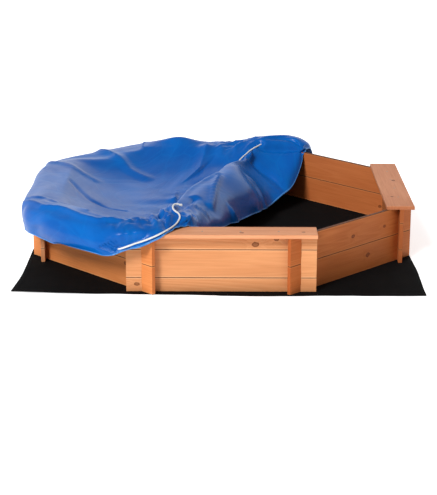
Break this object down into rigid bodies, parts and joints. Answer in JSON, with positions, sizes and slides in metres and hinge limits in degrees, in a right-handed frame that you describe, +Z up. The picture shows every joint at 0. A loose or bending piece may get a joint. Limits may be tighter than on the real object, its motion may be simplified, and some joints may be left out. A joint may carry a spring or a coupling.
{
  "type": "sandbox with cover",
  "caption": "Octagonal wooden sandpit of interlocking boards with bench seats on alternate sides, a ground sheet, and a loose drawstring cover drawn over one half",
  "frame": {"origin": "middle of the octagon on the underside of the ground sheet, on the ground", "axes": "+X to the right and +Y to the back when the front bench faces the viewer, +Z up"},
  "size_m": [1.4278, 1.4248, 0.2765],
  "materials": {
    "board_wood": "orange-tan stained softwood, planed",
    "seat_wood": "orange-tan stained softwood, planed, eased edges",
    "cleat_wood": "stained softwood, sawn",
    "screw_steel": "zinc-plated",
    "sheet_fabric": "black non-woven ground sheet",
    "cover_sheet": "blue coated waterproof sheet, semi-gloss",
    "cord_white": "white braided cord"
  },
  "bodies": {
    "sandbox": {"front_right_lower_board": "board_wood", "front_right_upper_board": "board_wood", "back_right_lower_board": "board_wood", "back_right_upper_board": "board_wood", "back_left_lower_board": "board_wood", "back_left_upper_board": "board_wood", "front_left_lower_board": "board_wood", "front_left_upper_board": "board_wood", "front_bottom_board": "board_wood", "front_middle_board": "board_wood", "front_top_board": "board_wood", "right_bottom_board": "board_wood", "right_middle_board": "board_wood", "right_top_board": "board_wood", "back_bottom_board": "board_wood", "back_middle_board": "board_wood", "back_top_board": "board_wood", "left_bottom_board": "board_wood", "left_middle_board": "board_wood", "left_top_board": "board_wood", "front_seat": "seat_wood", "right_seat": "seat_wood", "back_seat": "seat_wood", "left_seat": "seat_wood", "front_cleat_1": "cleat_wood", "front_cleat_2": "cleat_wood", "right_cleat_1": "cleat_wood", "right_cleat_2": "cleat_wood", "back_cleat_1": "cleat_wood", "back_cleat_2": "cleat_wood", "left_cleat_1": "cleat_wood", "left_cleat_2": "cleat_wood", "seat_screws": "screw_steel", "cleat_screws": "screw_steel", "ground_sheet": "sheet_fabric"},
    "cover": {"cover_top": "cover_sheet", "cover_skirt": "cover_sheet", "drawstring_front": "cord_white", "drawstring_back": "cord_white", "drawstring_knot": "cord_white"}
  },
  "joints": [
    {"name": "cover_lift", "type": "slide", "parent": "sandbox", "child": "cover", "axis": [0, 0, 1], "range_m": [0, 0.4]}
  ]
}
